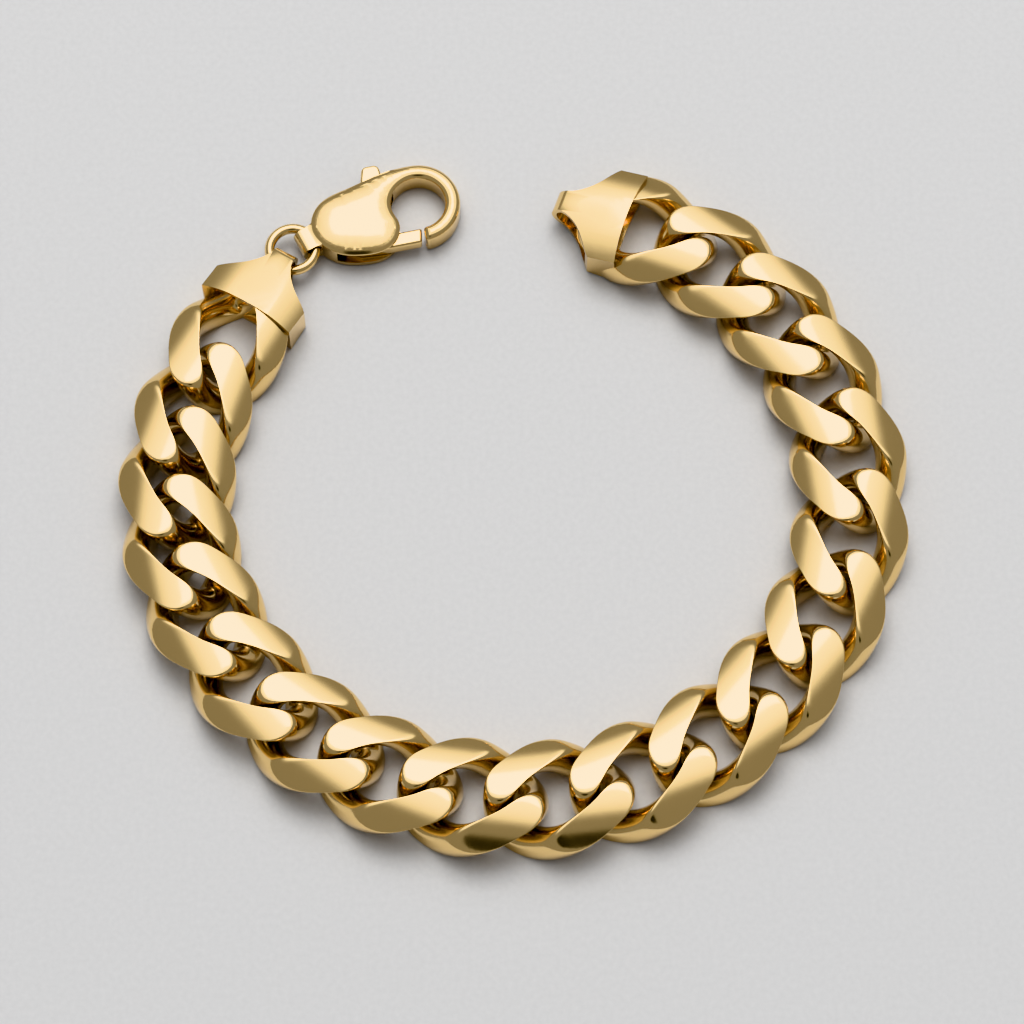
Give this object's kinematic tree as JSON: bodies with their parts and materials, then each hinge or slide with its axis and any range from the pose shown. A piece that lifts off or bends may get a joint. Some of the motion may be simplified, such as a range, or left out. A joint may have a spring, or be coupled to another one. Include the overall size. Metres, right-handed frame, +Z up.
{
  "type": "curb chain bracelet",
  "caption": "Heavy curb chain bracelet with folded end caps, a jump ring and a lobster claw clasp, unfastened and lying open in a loop on a flat surface.",
  "frame": {"origin": "middle of the footprint, on the surface that the bracelet lies on", "axes": "+Z up from the surface; +Y from the middle of the chain towards its open ends, where the clasp is; +X to the right seen from above with the clasp at the top"},
  "size_m": [0.0774, 0.0726, 0.005],
  "materials": {
    "gold": "polished yellow gold"
  },
  "bodies": {
    "bracelet": {"clasp_end_cap": "gold", "free_end_cap": "gold", "link_02": "gold", "link_03": "gold", "link_04": "gold", "link_05": "gold", "link_06": "gold", "link_07": "gold", "link_08": "gold", "link_09": "gold", "link_10": "gold", "link_11": "gold", "link_12": "gold", "link_13": "gold", "link_14": "gold", "link_15": "gold", "link_16": "gold", "link_17": "gold", "link_18": "gold", "link_19": "gold", "jump_ring": "gold", "clasp_body": "gold"},
    "lever": {"clasp_lever": "gold"}
  },
  "joints": [
    {"name": "lever_hinge", "type": "hinge", "parent": "bracelet", "child": "lever", "pos_m": [-0.01601, 0.0283, 0.00175], "axis": [0, 0, 1], "range_deg": [0, 20], "stiffness_Nm_per_rad": 0.01}
  ]
}
